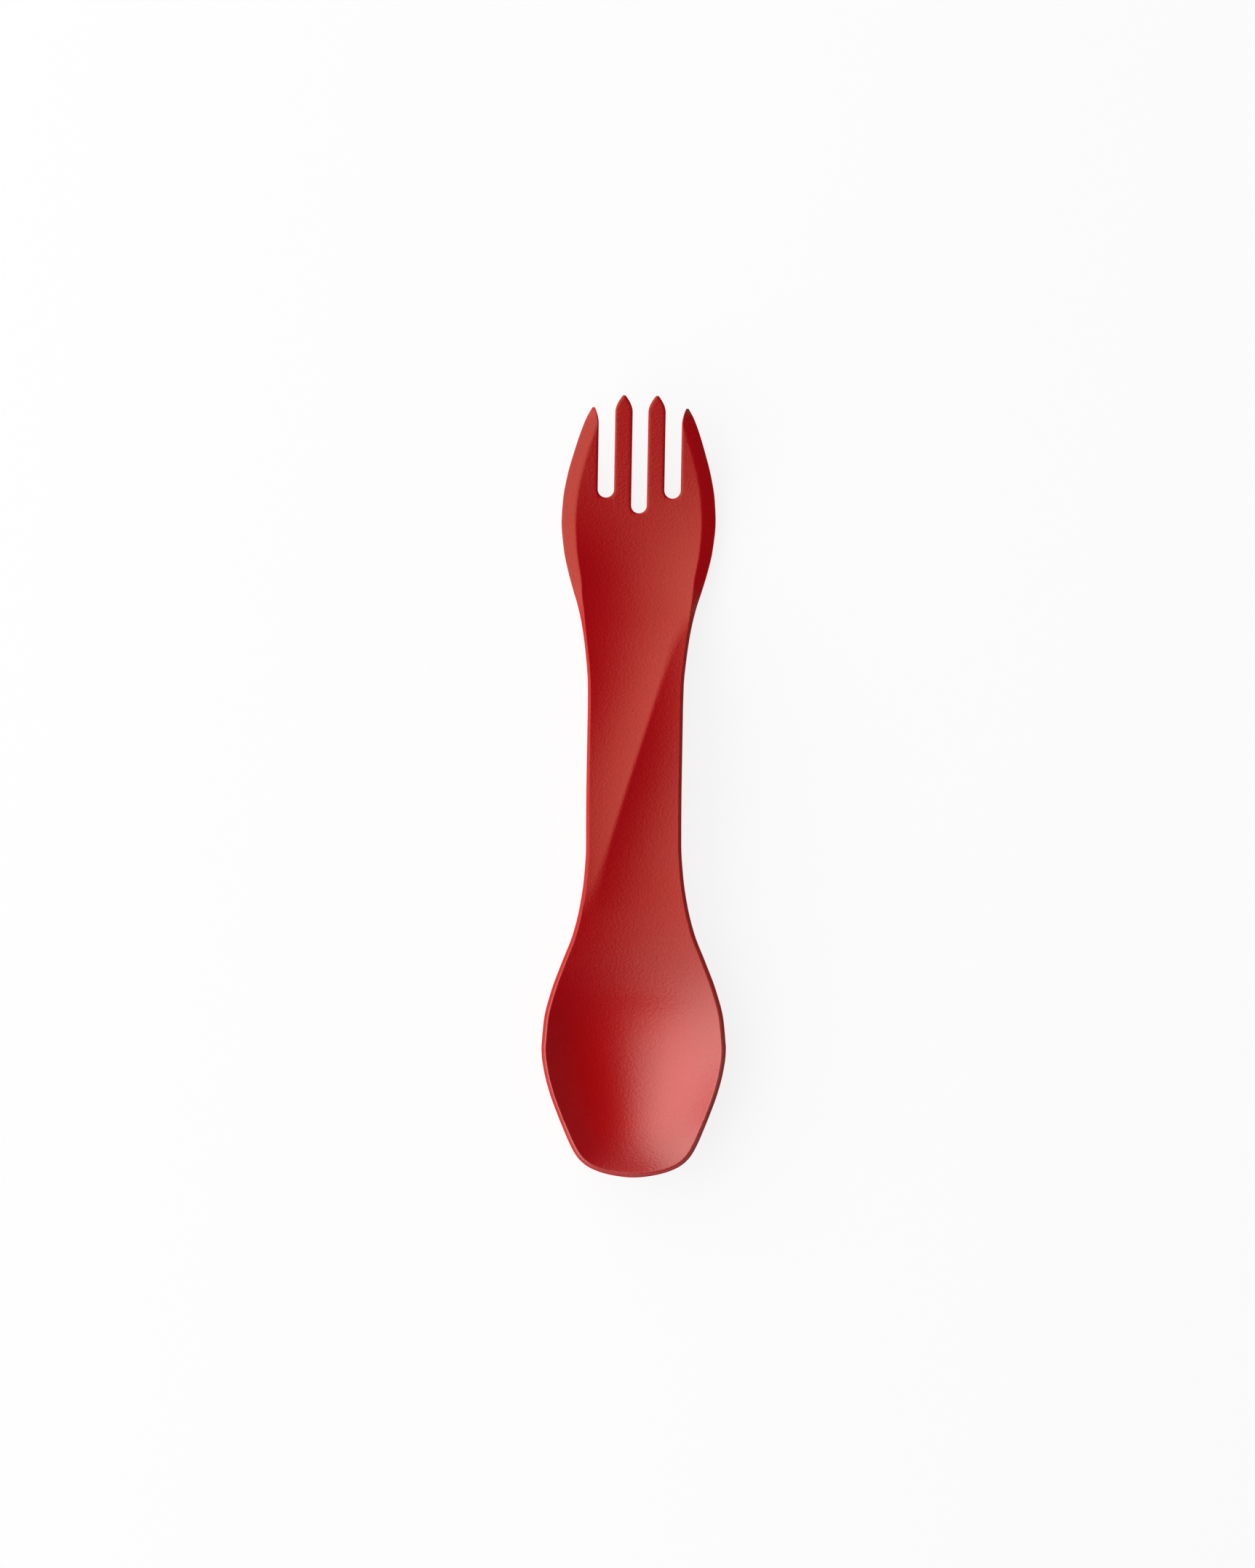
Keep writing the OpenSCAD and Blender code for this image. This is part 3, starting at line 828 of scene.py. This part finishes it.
def red_colour(tree, place, edge, grain):
    """The red, painted brighter in the bowl as painted light, more where it lies low, with a painted
    shade red on steep faces by their facing, and mottled with the grain.
    """
    # Painted light: the red is brighter towards the bowl, and more where the bowl lies low
    bowlward = ramp(tree, place["Y"], BOWL_LIGHT_FROM, BOWL_LIGHT_FULL, 0, 1)
    low = ramp(tree, place["Z"], BOWL_LIGHT_HIGH, BOWL_LIGHT_LOW, BOWL_LIGHT_AT_RIM, 1)
    body = blend(tree, maths(tree, "MULTIPLY", bowlward, low), RED, BOWL_PAINTED_LIGHT_RED)
    # Painted shade: steep faces take their own red by their facing, without the bowl's painted light
    colour = blend(tree, edge, body, STEEP_PAINTED_RED)
    mottle = ramp(tree, grain, MOTTLE_FROM, MOTTLE_FULL, 0, MOTTLE_SHARE)
    return blend(tree, mottle, colour, MOTTLE_RED)


def plastic():
    """Red plastic, coloured all through, with a satin skin and a fine moulded grain; its red carries
    painted light in the bowl and painted shade on steep faces.
    """
    material = bpy.data.materials.new("red_plastic")
    material.use_nodes = True
    tree = material.node_tree
    inputs = tree.nodes["Principled BSDF"].inputs
    inputs["Diffuse Roughness"].default_value = DIFFUSE_ROUGHNESS
    inputs["IOR"].default_value = IOR
    inputs["Specular IOR Level"].default_value = SHEEN
    inputs["Specular Tint"].default_value = (*SHEEN_TINT, 1)
    inputs["Coat Roughness"].default_value = POLISH_ROUGHNESS
    inputs["Coat IOR"].default_value = POLISH_IOR
    coordinates = tree.nodes.new("ShaderNodeTexCoord").outputs
    place = parts_of(tree, coordinates["Object"])
    facing = parts_of(tree, coordinates["Normal"])
    grain = moulded_grain(tree, coordinates["Object"])
    edge = ramp(tree, facing["Z"], EDGE_FROM, EDGE_FULL, 0, 1)
    bowl = ramp(tree, place["Y"], BOWL_LOOK_FROM, BOWL_LOOK_FULL, 0, 1)
    dullness = ramp(tree, facing["Z"], EDGE_FROM, EDGE_FULL, ROUGHNESS, EDGE_ROUGHNESS)
    direction = relief(tree, grain)
    sources = {
        "Base Color": red_colour(tree, place, edge, grain),
        "Roughness": maths(tree, "MULTIPLY_ADD", grain, GRAIN_ROUGHNESS, dullness),
        "Coat Weight": maths(tree, "SUBTRACT", bowl, edge, clamp=True),
        "Normal": direction,
        "Coat Normal": direction,
    }
    for name, source in sources.items():
        tree.links.new(source, inputs[name])
    return material


def diffuse(tree, grey):
    node = tree.nodes.new("ShaderNodeBsdfDiffuse")
    node.inputs["Color"].default_value = (grey, grey, grey, 1)
    return node.outputs[0]


def white_table():
    """White that glows for the eye and in reflections, and that still takes the part's shadow."""
    material = bpy.data.materials.new("floor")
    material.use_nodes = True
    tree = material.node_tree
    tree.nodes.clear()
    glow = tree.nodes.new("ShaderNodeEmission")
    glow.inputs["Strength"].default_value = FLOOR_GLOW
    seen = tree.nodes.new("ShaderNodeAddShader")
    tree.links.new(diffuse(tree, FLOOR_SEEN), seen.inputs[0])
    tree.links.new(glow.outputs[0], seen.inputs[1])
    rays = tree.nodes.new("ShaderNodeLightPath").outputs
    mirrored = maths(tree, "MAXIMUM", rays["Is Glossy Ray"], rays["Is Transmission Ray"])
    choose = tree.nodes.new("ShaderNodeMixShader")
    tree.links.new(maths(tree, "MAXIMUM", rays["Is Camera Ray"], mirrored), choose.inputs[0])
    tree.links.new(diffuse(tree, FLOOR_WHITE), choose.inputs[1])
    tree.links.new(seen.outputs[0], choose.inputs[2])
    out = tree.nodes.new("ShaderNodeOutputMaterial")
    tree.links.new(choose.outputs[0], out.inputs["Surface"])
    return material


def floor():
    bpy.ops.mesh.primitive_plane_add(size=FLOOR_SIZE)
    sheet = bpy.context.object
    sheet.name = "floor"
    sheet.data.materials.append(white_table())


def soft_box(name, angle, width, radiance, in_gloss):
    """A long lamp that faces the part, turned to the left from straight above."""
    place = Vector((-math.sin(angle), 0, math.cos(angle)))
    data = bpy.data.lights.new(name, "AREA")
    data.shape = "RECTANGLE"
    data.size = BOX_LENGTH
    data.size_y = width
    data.energy = radiance * BOX_LENGTH * width * math.pi
    box = bpy.data.objects.new(name, data)
    bpy.context.collection.objects.link(box)
    box.location = place * BOX_DISTANCE + Vector((0, BOX_SHIFT, 0))
    box.rotation_mode = "QUATERNION"
    box.rotation_quaternion = place.to_track_quat("Z", "Y")
    box.visible_glossy = in_gloss


def camera():
    """Looks straight down with the tines up, a little left of the part's own middle."""
    data = bpy.data.cameras.new("camera")
    view_height = PICTURE_HEIGHT / PART_IN_PICTURE * LENGTH * MM
    data.sensor_width = SENSOR_WIDTH
    data.lens = SENSOR_WIDTH * CAMERA_HEIGHT / view_height
    data.clip_end = CLIP_END
    cam = bpy.data.objects.new("camera", data)
    bpy.context.collection.objects.link(cam)
    cam.location = (*CAMERA_PLACE, CAMERA_HEIGHT + CAMERA_LEVEL)
    bpy.context.scene.camera = cam


def world_and_view():
    """A dark world, so that only the soft boxes light the part, and colours shown as they are."""
    scene = bpy.context.scene
    scene.view_settings.view_transform = "Standard"
    scene.world = bpy.data.worlds.new("world")
    scene.world.use_nodes = True
    background = scene.world.node_tree.nodes["Background"]
    background.inputs["Color"].default_value = (1, 1, 1, 1)
    background.inputs["Strength"].default_value = WORLD_LIGHT


piece = build_spork()
tidy_mesh(piece)
piece.data.materials.append(plastic())
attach(piece, "root")
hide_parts("spork")
floor()
for box_facts in SOFT_BOXES:
    soft_box(*box_facts)
camera()
world_and_view()
